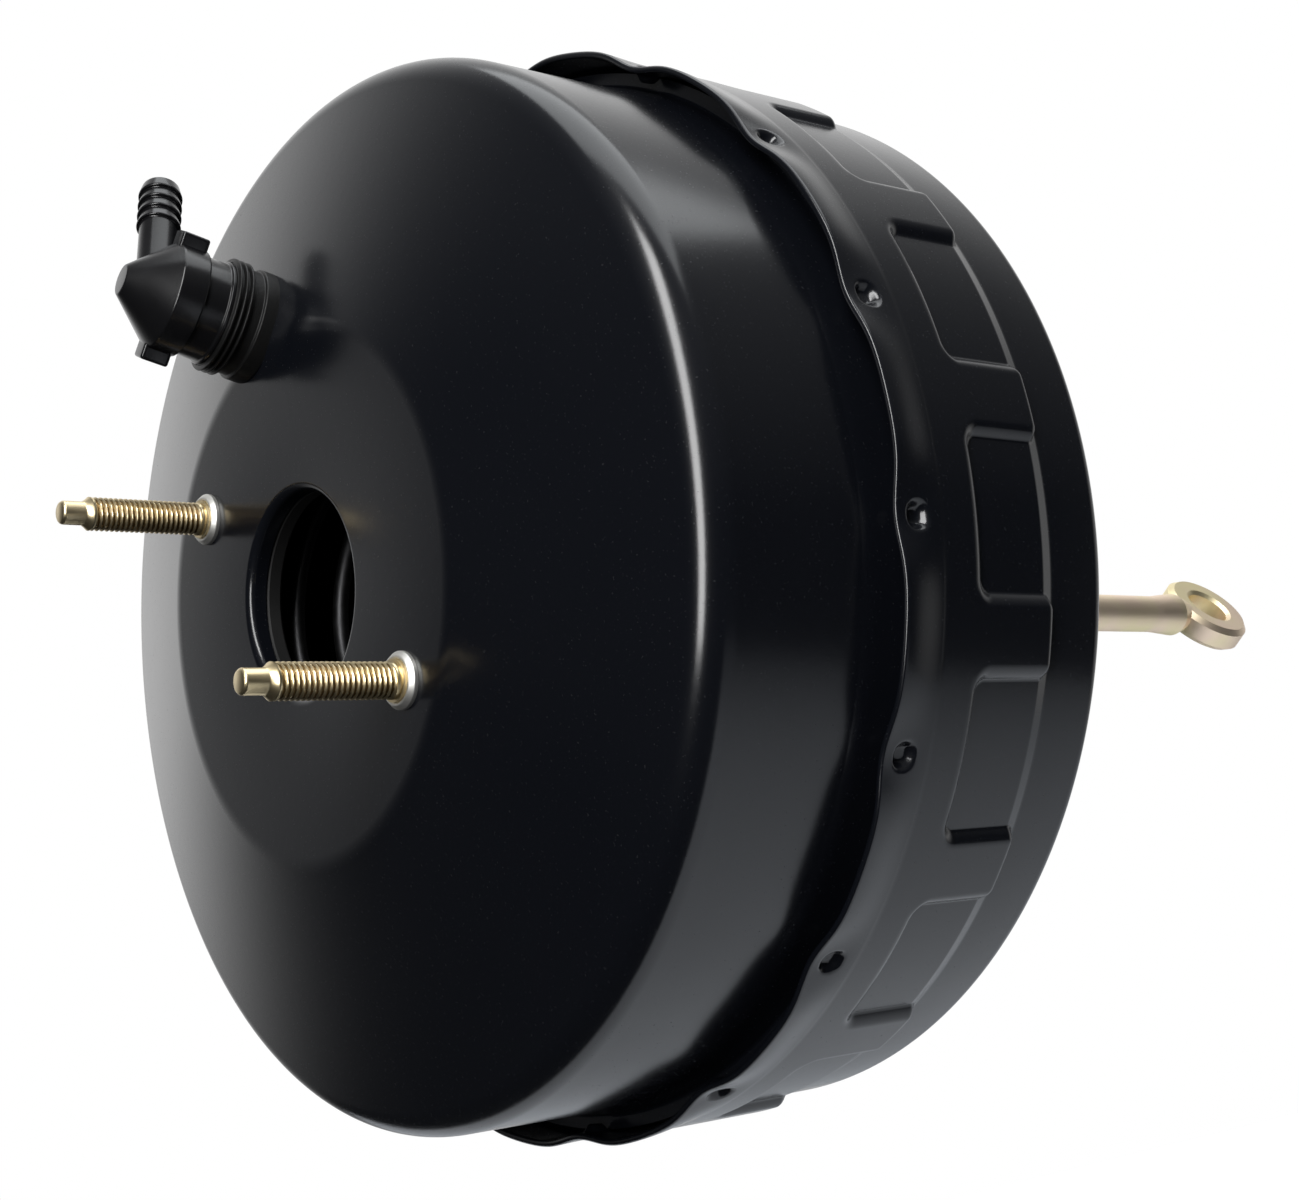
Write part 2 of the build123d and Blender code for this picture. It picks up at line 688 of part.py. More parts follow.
def plunger_key():
    """Forked key in the plunger's groove, which stops both the plunger and the valve body."""
    plate = Pos(KEY_X + KEY_T / 2, 0, 0) * Box(KEY_T, KEY_WIDTH, 2 * KEY_REACH)
    fork_r = PLUNGER_NECK_R + CLEARANCE
    slot = Pos(KEY_X + KEY_T / 2, 0, -KEY_REACH / 2) * Box(KEY_T + 1, 2 * fork_r, KEY_REACH)
    return plate - slot - rod(KEY_X - 1, KEY_X + KEY_T + 1, fork_r)


def poppet():
    """Moulded rubber poppet: face ring against the plunger seat, bellows and clamped bead."""
    face_r = POPPET_BORE_R - 1.2
    bore_r = POPPET_WALL_R - 1.2
    back_x = POPPET_X + 2.5
    return turned(
        (POPPET_X, BALL_R + 2.0),
        (POPPET_X, face_r),
        (POPPET_X + 2.2, face_r),
        (POPPET_X + 3.2, POPPET_WALL_R),
        (POPPET_BEAD_X, POPPET_WALL_R),
        (POPPET_BEAD_X, POPPET_BORE_R - SEAT_GAP),
        (POPPET_END_X, POPPET_BORE_R - SEAT_GAP),
        (POPPET_END_X, bore_r),
        (back_x, bore_r),
        (back_x, BALL_R + 2.0),
    )


def poppet_retainer():
    """Ring that clamps the poppet's bead and seats the rod's return spring."""
    x0 = POPPET_END_X + SEAT_GAP
    x1 = x0 + POPPET_RETAINER_T
    bore_r = 9.2
    outer_r = POPPET_BORE_R - SEAT_GAP
    return turned((x0, bore_r), (x0, outer_r), (x1, outer_r), (x1, bore_r))


def rear_seal():
    """Sliding seal between the neck and the valve body."""
    x1 = NECK_END_X - SHELL_T - REAR_BUSH_LENGTH
    x0 = x1 - REAR_SEAL_LENGTH
    bore_r = REAR_TUBE_R + RUNNING_FIT
    outer_r = NECK_R - SHELL_T - SEAT_GAP
    return turned(
        (x0, bore_r + 2.0),
        (x0 + 2.0, bore_r),
        (x0 + 4.0, bore_r),
        (x0 + 5.0, bore_r + 1.5),
        (x1, bore_r + 1.5),
        (x1, outer_r),
        (x0, outer_r),
    )


def rear_bush():
    """Plastic bush that guides the valve body behind its seal."""
    x0 = NECK_END_X - SHELL_T - REAR_BUSH_LENGTH + SEAT_GAP
    x1 = NECK_END_X - SHELL_T - SEAT_GAP
    return turned(
        (x0, REAR_TUBE_R + RUNNING_FIT),
        (x0, NECK_R - SHELL_T - SEAT_GAP),
        (x1, NECK_R - SHELL_T - SEAT_GAP),
        (x1, REAR_TUBE_R + RUNNING_FIT),
    )


def air_filter():
    outer_r = POPPET_BORE_R - SEAT_GAP
    return turned(
        (FILTER_X, FILTER_BORE_R),
        (FILTER_X, outer_r),
        (FILTER_END_X, outer_r),
        (FILTER_END_X, FILTER_BORE_R),
    )


def filter_retainer():
    """Slotted cap that holds the air filter in the rear tube."""
    x0 = FILTER_END_X + SEAT_GAP
    x1 = TUBE_END_X + 1.5
    cap = turned(
        (x0, FILTER_BORE_R + 0.8),
        (x0, POPPET_BORE_R - SEAT_GAP),
        (TUBE_END_X, POPPET_BORE_R - SEAT_GAP),
        (TUBE_END_X, REAR_TUBE_R),
        (x1, REAR_TUBE_R),
        (x1, FILTER_BORE_R + 0.8),
    )
    slot = Pos(x1 - 2, 0, (FILTER_BORE_R + POPPET_BORE_R) / 2 + 0.4) * Box(20, 3.0, 3.6)
    return cap - around(8, 0, slot)


def input_rod():
    """Input rod: ball, thin neck, rod and the pedal eye, which is rolled about the rod."""
    half = EYE_T / 2
    eye_x = EYE_REACH - EYE_R
    neck_end_x = PLUNGER_END_X + ROD_NECK_LENGTH
    shank = turned(
        (BALL_X, 0),
        (BALL_X, ROD_NECK_R),
        (neck_end_x, ROD_NECK_R),
        (neck_end_x + 2.0, ROD_R),
        (eye_x - 14.0, ROD_R),
        (eye_x - 3.0, ROD_ROOT_R),
        (eye_x + 5.0, half - SEAT_GAP),
        (eye_x + 5.0, 0),
    )
    ball = Pos(BALL_X, 0, 0) * Sphere(BALL_R)
    edge = 1.6
    profile = Polyline(
        (0, -half),
        (EYE_R - edge, -half),
        (EYE_R, -half + edge),
        (EYE_R, half - edge),
        (EYE_R - edge, half),
        (0, half),
        close=True,
    )
    eye = revolve(make_face(Plane.XZ * profile), Axis.Z)
    hole = Cylinder(EYE_HOLE_R, 2 * EYE_T)
    chamfer_tool = Cone(EYE_HOLE_R, EYE_HOLE_R + EYE_HOLE_CHAMFER, EYE_HOLE_CHAMFER)
    hole = hole + Pos(0, 0, half - EYE_HOLE_CHAMFER / 2) * chamfer_tool
    place = Pos(EYE_REACH, 0, 0) * Rot(90 - EYE_ROLL, 0, 0)
    return shank + ball + place * eye - place * hole


def dust_boot():
    """Rubber boot: cuff on the neck, folds that close up as the valve body moves, rear cuff."""
    cuff_x = PAD_X + 9.0
    fold_x = cuff_x + 8.0
    end_x = TUBE_END_X - 9.0
    pitch = (end_x - fold_x) / BOOT_FOLDS
    line = [(cuff_x, NECK_R + BOOT_T), (fold_x, NECK_R + BOOT_T)]
    shrink = (NECK_R - REAR_TUBE_R) / (BOOT_FOLDS + 1)
    for index in range(BOOT_FOLDS):
        x0 = fold_x + index * pitch
        drop = 0.9 * shrink * index
        line.append((x0 + 0.3 * pitch, BOOT_RIDGE_R - drop))
        line.append((x0 + 0.7 * pitch, BOOT_RIDGE_R - drop))
        line.append((x0 + pitch, max(BOOT_VALLEY_R - 1.4 * drop, REAR_TUBE_R + BOOT_T)))
    line[-1] = (end_x, REAR_TUBE_R + BOOT_T)
    line.append((TUBE_END_X - 1.0, REAR_TUBE_R + BOOT_T))
    return skin(line, [1.0] * (len(line) - 2), BOOT_T - SEAT_GAP)


def check_valve_grommet():
    """Ribbed rubber grommet on the shell's flat pad."""
    back_x = FRONT_X + SHELL_T
    rim_x = FRONT_X - 2.6
    tail_x = back_x + 3.5
    barrel_r = GROMMET_R - 1.2
    rim_r = GROMMET_R - 0.3
    waist_r = VALVE_HOLE_R - SEAT_GAP
    body = turned(
        (CHECK_FRONT_X, GROMMET_BORE_R),
        (CHECK_FRONT_X, barrel_r),
        (rim_x, barrel_r),
        (rim_x, rim_r),
        (FRONT_X, rim_r),
        (FRONT_X, waist_r),
        (back_x, waist_r),
        (back_x, VALVE_HOLE_R + 2.5),
        (tail_x, VALVE_HOLE_R + 0.5),
        (tail_x, GROMMET_BORE_R),
    )
    rib = rod(CHECK_FRONT_X, CHECK_FRONT_X + 0.8, GROMMET_R) - rod(CHECK_FRONT_X - 1, FRONT_X, GROMMET_BORE_R)
    for index in range(GROMMET_RIBS):
        body = body + Pos(index * GROMMET_RIB_PITCH, 0, 0) * rib
    return check_axis(body)


def check_valve_body():
    """Check valve body: tail through the grommet, flange, drum and the disc's seat."""
    tail_x = FRONT_X + SHELL_T + 9.0
    tail_r = GROMMET_BORE_R - SEAT_GAP
    hook_x = tail_x - 3.2
    flange_x = CHECK_FRONT_X - 1.0
    flange_r = CHECK_BODY_R + 0.6
    web_x = CHECK_SEAT_X + 1.2
    return check_axis(
        turned(
            (tail_x, CHECK_SEAT_BORE_R),
            (tail_x, tail_r - 0.8),
            (tail_x - 2.0, tail_r + 0.9),
            (hook_x, tail_r + 0.9),
            (hook_x, tail_r),
            (CHECK_FRONT_X, tail_r),
            (CHECK_FRONT_X, flange_r),
            (flange_x, flange_r),
            (flange_x, CHECK_BODY_R),
            (CHECK_JOINT_X, CHECK_BODY_R),
            (CHECK_JOINT_X, CHECK_BORE_R),
            (web_x, CHECK_BORE_R),
            (web_x, CHECK_SEAT_BORE_R + 1.6),
            (CHECK_SEAT_X, CHECK_SEAT_BORE_R + 1.0),
            (CHECK_SEAT_X, CHECK_SEAT_BORE_R),
        )
    )


def check_valve_elbow():
    """Welded cap of the check valve: two lugs, blunt cone, and the ridged hose barb across it."""
    joint_x = CHECK_JOINT_X - SEAT_GAP
    shoulder_x = joint_x - CHECK_CAP_LENGTH
    tip_x = shoulder_x - CHECK_CONE_LENGTH
    barb_x = joint_x - BARB_AHEAD
    cap = turned(
        (joint_x, CHECK_BORE_R),
        (joint_x, CHECK_CAP_R),
        (shoulder_x, CHECK_CAP_R),
        (tip_x, CHECK_TIP_R),
        (tip_x, 0),
        (barb_x - CAP_BORE_R, 0),
        (barb_x - CAP_BORE_R, CAP_BORE_R),
        (CHECK_FLOOR_X, CAP_BORE_R),
        (CHECK_FLOOR_X, CHECK_BORE_R),
    )
    lug_x = joint_x - 0.6 - LUG_LENGTH / 2
    lug_root = 2.0
    lug_low = CHECK_CAP_R - lug_root
    upward = (Align.CENTER, Align.CENTER, Align.MIN)
    lug = Box(LUG_LENGTH, LUG_WIDTH, LUG_RISE + lug_root, align=upward)
    lug = chamfer(lug.edges().group_by(Axis.Z)[-1].filter_by(Axis.Y), 1.0)
    for angle in (LUG_ANGLE, LUG_ANGLE + 180):
        cap = cap + Rot(angle, 0, 0) * Pos(lug_x, 0, lug_low) * lug
    stem_low = BARB_R + 1.5
    stem = Pos(0, 0, stem_low) * Cylinder(BARB_R, BARB_REACH - stem_low, align=upward)
    ridge_length = 0.8 * RIDGE_PITCH
    for index in range(BARB_RIDGES):
        low = BARB_REACH - index * RIDGE_PITCH - ridge_length
        stem = stem + Pos(0, 0, low) * Cone(BARB_RIDGE_R, BARB_R, ridge_length, align=upward)
    bore = Cylinder(BARB_BORE_R, BARB_REACH + 1, align=upward)
    place = Pos(barb_x, 0, 0) * Rot(-BARB_LEAN, 0, 0)
    return check_axis(cap + place * stem - place * bore)


def check_valve_disc():
    """Rubber disc that lifts off its seat towards the hose."""
    back_x = CHECK_SEAT_X - SEAT_GAP
    nub_x = CHECK_DISC_X - 1.2
    return check_axis(
        turned(
            (back_x, 0),
            (back_x, CHECK_DISC_R),
            (CHECK_DISC_X, CHECK_DISC_R),
            (CHECK_DISC_X, 2.0),
            (nub_x, 1.6),
            (nub_x, 0),
        )
    )


def check_valve_spring():
    return check_axis(spring(CHECK_FLOOR_X, CHECK_DISC_X, CHECK_SPRING_R, CHECK_SPRING_R, 0.4, 3.5))


def return_spring():
    front_x = FRONT_X + SHELL_T + STUD_PLATE_T
    rear_x = HUB_FRONT_X - 1.2
    return spring(front_x, rear_x, RETURN_FRONT_R, RETURN_REAR_R, RETURN_WIRE_R, RETURN_TURNS)


def poppet_spring():
    front_x = POPPET_X + 2.5
    return spring(front_x, POPPET_END_X, 9.8, 9.8, 0.5, 6)


def rod_return_spring():
    front_x = POPPET_END_X + SEAT_GAP + POPPET_RETAINER_T
    return spring(front_x, FILTER_X, 12.5, 11.0, 0.8, 4)


SUBPARTS = [
    front_shell,
    rear_shell,
    master_cylinder_studs,
    stud_collars,
    stud_plate,
    front_seal,
    firewall_studs,
    rear_plate,
    primary_diaphragm,
    primary_plate,
    divider,
    divider_seal,
    secondary_diaphragm,
    secondary_plate,
    valve_body,
    reaction_disc,
    output_rod,
    output_rod_retainer,
    plunger,
    plunger_key,
    poppet,
    poppet_retainer,
    poppet_spring,
    rod_return_spring,
    input_rod,
    air_filter,
    filter_retainer,
    rear_seal,
    rear_bush,
    dust_boot,
    return_spring,
    check_valve_grommet,
    check_valve_body,
    check_valve_elbow,
    check_valve_disc,
    check_valve_spring,
]

os.makedirs("parts", exist_ok=True)
for make in SUBPARTS:
    export_step(make(), os.path.join("parts", make.__name__ + ".step"))
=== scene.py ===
import math

import bmesh
import bpy
from mathutils import Matrix, Vector


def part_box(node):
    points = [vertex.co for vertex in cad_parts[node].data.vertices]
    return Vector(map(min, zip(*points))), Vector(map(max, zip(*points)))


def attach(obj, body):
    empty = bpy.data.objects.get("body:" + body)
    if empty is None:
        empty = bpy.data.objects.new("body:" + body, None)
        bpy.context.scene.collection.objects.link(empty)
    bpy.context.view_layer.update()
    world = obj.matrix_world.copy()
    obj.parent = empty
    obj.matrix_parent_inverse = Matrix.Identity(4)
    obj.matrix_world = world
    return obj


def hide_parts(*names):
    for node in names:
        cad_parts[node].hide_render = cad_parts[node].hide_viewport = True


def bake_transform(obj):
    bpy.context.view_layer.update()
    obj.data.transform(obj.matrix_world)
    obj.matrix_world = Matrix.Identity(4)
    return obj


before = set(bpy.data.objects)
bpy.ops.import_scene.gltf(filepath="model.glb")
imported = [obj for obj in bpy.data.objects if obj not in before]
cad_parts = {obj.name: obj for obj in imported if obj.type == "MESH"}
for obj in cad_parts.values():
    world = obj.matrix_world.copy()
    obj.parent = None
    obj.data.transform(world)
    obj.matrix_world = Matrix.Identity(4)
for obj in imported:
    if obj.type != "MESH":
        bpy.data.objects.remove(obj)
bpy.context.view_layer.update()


# The room: a white backdrop stands behind the booster and bends round to the right of it, and
# the paint mirrors it. The rest of the room is dim, so the paint looks black on its near side.
class Value:
    """A socket in a node tree; arithmetic on it adds Math nodes."""

    def __init__(self, tree, socket):
        self.tree = tree
        self.socket = socket

    def math(self, operation, *values):
        node = self.tree.nodes.new("ShaderNodeMath")
        node.operation = operation
        for slot, value in zip(node.inputs, values):
            if isinstance(value, Value):
                self.tree.links.new(value.socket, slot)
            else:
                slot.default_value = value
        return Value(self.tree, node.outputs[0])

    def __add__(self, other):
        return self.math("ADD", self, other)

    def __sub__(self, other):
        return self.math("SUBTRACT", self, other)

    def __rsub__(self, other):
        return self.math("SUBTRACT", other, self)

    def __mul__(self, other):
        return self.math("MULTIPLY", self, other)

    def __pow__(self, other):
        return self.math("POWER", self, other)

    __radd__ = __add__
    __rmul__ = __mul__

    def above(self, edge):
        return self.math("MAXIMUM", self, edge)

    def below(self, edge):
        return self.math("MINIMUM", self, edge)


class Nodes:
    """A node tree and the one way in which other nodes are added to it."""

    def __init__(self, tree):
        self.tree = tree
        tree.nodes.clear()

    def add(self, kind, settings, sockets, output=0):
        node = self.tree.nodes.new("ShaderNode" + kind)
        for name, value in settings.items():
            setattr(node, name, value)
        for name, value in sockets.items():
            if isinstance(value, Value):
                self.tree.links.new(value.socket, node.inputs[name])
            else:
                node.inputs[name].default_value = value
        return Value(self.tree, node.outputs[output] if node.outputs else None)


BACKDROP_SIDE = (0.5, 0.85, 0.0)
BACKDROP_EDGE = 0.05
BACKDROP_SPREAD = 1.15
BACKDROP_FALL = 3.0
BACKDROP_LIGHT = 1.6
BEND_EDGE = 0.85
BEND_LIGHT = 3.2
FADE_DOWN = 1.8
CEILING_EDGE = 0.3
CEILING_LIGHT = 0.3
BACKDROP_SHARE = 0.6
ROOM_LIGHT = 0.02
ROOM_COLOUR = (0.98, 0.99, 1.0)
world = bpy.data.worlds.new("studio")
bpy.context.scene.world = world
world.use_nodes = True
room = Nodes(world.node_tree)
direction = room.add("TexCoord", {}, {}, "Generated")
aside = room.add("SeparateXYZ", {}, {"Vector": direction}, "X")
height = room.add("SeparateXYZ", {}, {"Vector": direction}, "Z")
towards = room.add("VectorMath", {"operation": "DOT_PRODUCT"}, {0: direction, 1: BACKDROP_SIDE}, "Value")
behind = ((towards - BACKDROP_EDGE).above(0.0) * BACKDROP_SPREAD).below(1.0)
behind = behind ** BACKDROP_FALL * BACKDROP_LIGHT
beside = (aside - BEND_EDGE).above(0.0) * BEND_LIGHT
fade = (height * FADE_DOWN + 1.0).above(0.0).below(1.0)
backdrop = (behind.above(beside) * fade).below(1.0)
ceiling = (height - CEILING_EDGE).above(0.0) * CEILING_LIGHT
room_light = backdrop * BACKDROP_SHARE + ceiling + ROOM_LIGHT
mirrored = room.add("LightPath", {}, {}, "Is Glossy Ray") * backdrop
seen = room.add("LightPath", {}, {}, "Is Camera Ray") + room.add("LightPath", {}, {}, "Is Transmission Ray")
seen = seen + mirrored
lit = room.add("Background", {}, {"Color": (*ROOM_COLOUR, 1), "Strength": room_light})
plain = room.add("Background", {}, {"Color": (1, 1, 1, 1), "Strength": 1.0})
mixed = room.add("MixShader", {}, {0: seen, 1: lit, 2: plain})
room.add("OutputWorld", {}, {"Surface": mixed})


# The floor: a sheet of pale cool card under the booster, to its right and on its near side. It
# throws light up at the low side of the drum, and the camera sees it as white as the backdrop.
FLOOR_COLOUR = (0.80, 0.83, 0.88)
FLOOR_GLOW = 0.9
FLOOR_Z = -0.3
FLOOR_FRONT_X = -0.1
FLOOR_BACK_X = 1.6
FLOOR_NEAR_Y = -4.0
FLOOR_FAR_Y = 0.25
floor_mesh = bpy.data.meshes.new("floor")
floor_mesh.from_pydata(
    [(FLOOR_FRONT_X, FLOOR_NEAR_Y, FLOOR_Z), (FLOOR_BACK_X, FLOOR_NEAR_Y, FLOOR_Z),
     (FLOOR_BACK_X, FLOOR_FAR_Y, FLOOR_Z), (FLOOR_FRONT_X, FLOOR_FAR_Y, FLOOR_Z)],
    [],
    [(0, 1, 2, 3)],
)
floor = bpy.data.objects.new("floor", floor_mesh)
bpy.context.collection.objects.link(floor)
floor_paint = bpy.data.materials.new("studio_floor")
floor_paint.use_nodes = True
paper = Nodes(floor_paint.node_tree)
matt = paper.add("BsdfDiffuse", {}, {"Color": (*FLOOR_COLOUR, 1)})
seen = paper.add("LightPath", {}, {}, "Is Camera Ray") + paper.add("LightPath", {}, {}, "Is Transmission Ray")
glow = paper.add("Emission", {}, {"Color": (1, 1, 1, 1), "Strength": seen * FLOOR_GLOW})
paper.add("OutputMaterial", {}, {"Surface": paper.add("AddShader", {}, {0: matt, 1: glow})})
floor_mesh.materials.append(floor_paint)


# The lamps: a tall softbox that leans over from the front left draws the bright line on the
# drum's near corner, and a wide dim one overhead shows the rolls of the rear shell.
def softbox(name, place, aim, width, tall, power, colour=(1, 1, 1)):
    lamp = bpy.data.lights.new(name, "AREA")
    lamp.shape = "RECTANGLE"
    lamp.size = width
    lamp.size_y = tall
    lamp.energy = power
    lamp.color = colour
    thing = bpy.data.objects.new(name, lamp)
    bpy.context.collection.objects.link(thing)
    back = (Vector(place) - Vector(aim)).normalized()
    side = Vector((0, 0, 1)).cross(back).normalized()
    up = back.cross(side)
    turn = Matrix((side, up, back)).transposed().to_4x4()
    thing.matrix_world = Matrix.Translation(place) @ turn
    return thing


softbox("key_strip", (-1.0, -0.58, 0.62), (0, 0, 0), width=0.34, tall=1.7, power=24)
softbox("top_box", (0.1, 0.1, 1.3), (0, 0, 0), width=1.4, tall=1.0, power=10, colour=(0.95, 0.98, 1.0))


# The camera: the photograph's own place, found from the ellipses of the plateau, drum, lip and
# rear corner. It looks from the front left, almost level, and is rolled by about three degrees.
CAMERA_AT = (-0.35847, -0.39935, 0.01672)
CAMERA_AZIMUTH = math.radians(-38.913)
CAMERA_HEIGHT = math.radians(1.804)
CAMERA_ROLL = math.radians(2.874)
LENS = 55.19
SENSOR = 36.0
back = Vector((
    math.sin(CAMERA_AZIMUTH) * math.cos(CAMERA_HEIGHT),
    -math.cos(CAMERA_AZIMUTH) * math.cos(CAMERA_HEIGHT),
    math.sin(CAMERA_HEIGHT),
))
level = (-back).cross(Vector((0, 0, 1))).normalized()
upright = level.cross(-back)
right = math.cos(CAMERA_ROLL) * level + math.sin(CAMERA_ROLL) * upright
top = -math.sin(CAMERA_ROLL) * level + math.cos(CAMERA_ROLL) * upright
camera_data = bpy.data.cameras.new("camera")
camera_data.lens = LENS
camera_data.sensor_width = SENSOR
camera_data.sensor_fit = "HORIZONTAL"
camera_data.clip_start = 0.01
camera = bpy.data.objects.new("camera", camera_data)
bpy.context.collection.objects.link(camera)
camera.matrix_world = Matrix.Translation(CAMERA_AT) @ Matrix((right, top, back)).transposed().to_4x4()
bpy.context.scene.camera = camera
bpy.context.scene.view_settings.view_transform = "Standard"


# Front shell: pressed steel, dipped in black paint that dries semi-gloss with a faint orange
# peel. It is one sheet: rolled hole edge, plateau, dome, drum, flare and the crimped flange.
def finish(name, colour, roughness, metallic=0.0, **more):
    """A material with its even values set on the shader; returns its nodes and the material."""
    material = bpy.data.materials.new(name)
    material.use_nodes = True
    nodes = Nodes(material.node_tree)
    shader = nodes.add("BsdfPrincipled", {}, {
        "Base Color": (*colour, 1), "Roughness": roughness, "Metallic": metallic, **more,
    })
    nodes.add("OutputMaterial", {}, {"Surface": shader})
    nodes.shader = shader.socket.node
    nodes.material = material
    nodes.place = nodes.add("TexCoord", {}, {}, "Object")
    return nodes


def drive(nodes, name, value):
    """Links a varying value to one of the shader's sockets."""
    nodes.tree.links.new(value.socket, nodes.shader.inputs[name])


def noise(nodes, scale, detail=2.0, rough=0.5):
    return nodes.add("TexNoise", {}, {
        "Vector": nodes.place, "Scale": scale, "Detail": detail, "Roughness": rough,
    })


def blend_colours(nodes, share, first, second):
    return nodes.add("Mix", {"data_type": "RGBA"}, {0: share, 6: (*first, 1), 7: (*second, 1)}, 2)


def relief(nodes, height, strength, depth):
    bump = nodes.add("Bump", {}, {"Height": height, "Strength": strength, "Distance": depth})
    drive(nodes, "Normal", bump)


PAINT_BLACK = (0.003, 0.0036, 0.0055)
PAINT_DUST = (0.03, 0.031, 0.034)


def black_paint():
    nodes = finish("black_gloss_paint", PAINT_BLACK, 0.2)
    clouds = noise(nodes, 14, 3)
    peel = noise(nodes, 420, 2)
    dust = noise(nodes, 1900, 1)
    specks = ((dust - 0.7) * 14).above(0.0).below(1.0)
    drive(nodes, "Roughness", clouds * 0.08 + 0.15 + specks * 0.15)
    drive(nodes, "Base Color", blend_colours(nodes, specks * 0.3 + clouds * 0.05, PAINT_BLACK, PAINT_DUST))
    relief(nodes, peel, 0.1, 0.00008)
    return nodes.material


paint = black_paint()

MM = 0.001
SHELL_T = 1.5
FRONT_X = -138.0
HOLE_R = 23.5
HOLE_ROLL = 4.5
PLATEAU_R = 61.1
DOME_FALL = 17.7
DRUM_R = 123.2
FLARE_LENGTH = 13.0
FLANGE_X = -69.0
FLANGE_R = 128.0


def rounded(corners):
    """Outline through (x, r, radius) corners, with an arc of that radius at each corner."""
    points = []
    for index, (x, r, radius) in enumerate(corners):
        here = Vector((x, r))
        if radius <= 0 or index in (0, len(corners) - 1):
            points.append(here)
            continue
        before = (Vector(corners[index - 1][:2]) - here).normalized()
        after = (Vector(corners[index + 1][:2]) - here).normalized()
        angle = before.angle(after)
        reach = radius / math.tan(angle / 2)
        centre = here + (before + after).normalized() * (radius / math.sin(angle / 2))
        start = here + before * reach - centre
        turn = math.pi - angle
        if start.cross(here + after * reach - centre) < 0:
            turn = -turn
        steps = max(3, int(abs(turn) / math.radians(6)))
        for step in range(steps + 1):
            swing = turn * step / steps
            points.append(centre + Matrix.Rotation(swing, 2) @ start)
    return points


def walled(points, thickness):
    """Closed outline of a sheet: the points, then the same points moved by its thickness."""
    inner = []
    for index, point in enumerate(points):
        before = points[max(index - 1, 0)]
        after = points[min(index + 1, len(points) - 1)]
        along = (after - before).normalized()
        inner.append(point + Vector((along.y, -along.x)) * thickness)
    return points + inner[::-1]


def piece(name, corners, faces, material, body, replaced=(), sharp=32):
    """A mesh object in metres from corners in millimetres. It rides on the body, if one is named."""
    mesh = bpy.data.meshes.new(name)
    mesh.from_pydata([tuple(c * MM for c in corner) for corner in corners], [], faces)
    shape = bmesh.new()
    shape.from_mesh(mesh)
    bmesh.ops.remove_doubles(shape, verts=shape.verts, dist=1e-6)
    bmesh.ops.recalc_face_normals(shape, faces=shape.faces)
    shape.to_mesh(mesh)
    shape.free()
    mesh.shade_smooth()
    mesh.set_sharp_from_angle(angle=math.radians(sharp))
    mesh.materials.append(material)
    thing = bpy.data.objects.new(name, mesh)
    bpy.context.collection.objects.link(thing)
    if body:
        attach(thing, body)
    if replaced:
        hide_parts(*replaced)
    return thing


def lathe(name, outline, material, body, replaced=(), around=128, at=(0, 0), sharp=32):
    """A closed (x, r) outline turned about an axis parallel to X through (y, z)."""
    corners = []
    for x, r in outline:
        for step in range(around):
            angle = 2 * math.pi * step / around
            corners.append((x, at[0] + r * math.cos(angle), at[1] + r * math.sin(angle)))
    rows = len(outline)
    faces = []
    for row in range(rows):
        following = (row + 1) % rows
        for step in range(around):
            aside = (step + 1) % around
            faces.append((row * around + step, row * around + aside,
                          following * around + aside, following * around + step))
    return piece(name, corners, faces, material, body, replaced, sharp)


front_outline = rounded([
    (FRONT_X + HOLE_ROLL, HOLE_R, 0),
    (FRONT_X, HOLE_R, 2.0),
    (FRONT_X, PLATEAU_R, 14.0),
    (FRONT_X + DOME_FALL, DRUM_R, 8.65),
    (FLANGE_X - FLARE_LENGTH, DRUM_R, 5.0),
    (FLANGE_X, DRUM_R + 1.3, 1.0),
    (FLANGE_X, FLANGE_R, 0),
])
lathe("front_shell_skin", walled(front_outline, SHELL_T), paint, "root",
      ["front_shell"], around=320)


# Rear shell: the same painted steel. Its lip is pinched in by seventeen lances, the land behind
# it is pressed down in sixteen pockets, and land and pockets step down to a ring at the rear.
LIP_X = -78.0
LAND_R = 130.0
LIP_R = 131.5
RING_R = 127.0
LIP_RUN = 14.0
STEP_X = -32.0
STEP_FOOT_X = STEP_X + 1.2
REAR_X = -12.0
POCKETS = 16
POCKET_X = -53.5
POCKET_LENGTH = 40.0
POCKET_HALF_WIDTH = math.radians(7.25) * RING_R
POCKET_CORNER = 2.6
POCKET_RISE = 1.0
POCKET_RAMP = 3.6
RAMP_PAST_FOOT = 0.6
WALL_RUN = 3.2
TOOTH_CORNER = 3.4
LANCES = 17
LANCE_X = -72.3
LANCE_HALF_WIDTH = 2.5
LANCE_HALF_LENGTH = 2.3
LANCE_CORNER = 2.0
LANCE_DEPTH = 1.9
WAVE_DEPTH = 2.4
WAVE_WIDTH = 9.0
WAVE_RUN = 13.0
COLUMNS = POCKETS * 112


def ease(low, high, value):
    share = min(max((value - low) / (high - low), 0.0), 1.0)
    return share * share * (3 - 2 * share)


def wall(distance, run):
    """Rise of a pressed wall: steep at its foot, rounded over at its top."""
    share = min(max(distance / run, 0.0), 1.0)
    return 1 - (1 - share) ** 2.0


def both(a, b, corner):
    """Distance inside two edges at once, with their shared corner rounded."""
    if a < corner and b < corner:
        return corner - math.hypot(corner - a, corner - b)
    return min(a, b)


def box_distance(u, v, half_u, half_v, corner):
    """Distance to a rounded rectangle, negative inside."""
    du = abs(u) - half_u + corner
    dv = abs(v) - half_v + corner
    return math.hypot(max(du, 0), max(dv, 0)) + min(max(du, dv), 0) - corner


def nearest(angle, count, first):
    """Angle from the nearest of some evenly spaced places."""
    pitch = 2 * math.pi / count
    return (angle - first + pitch / 2) % pitch - pitch / 2


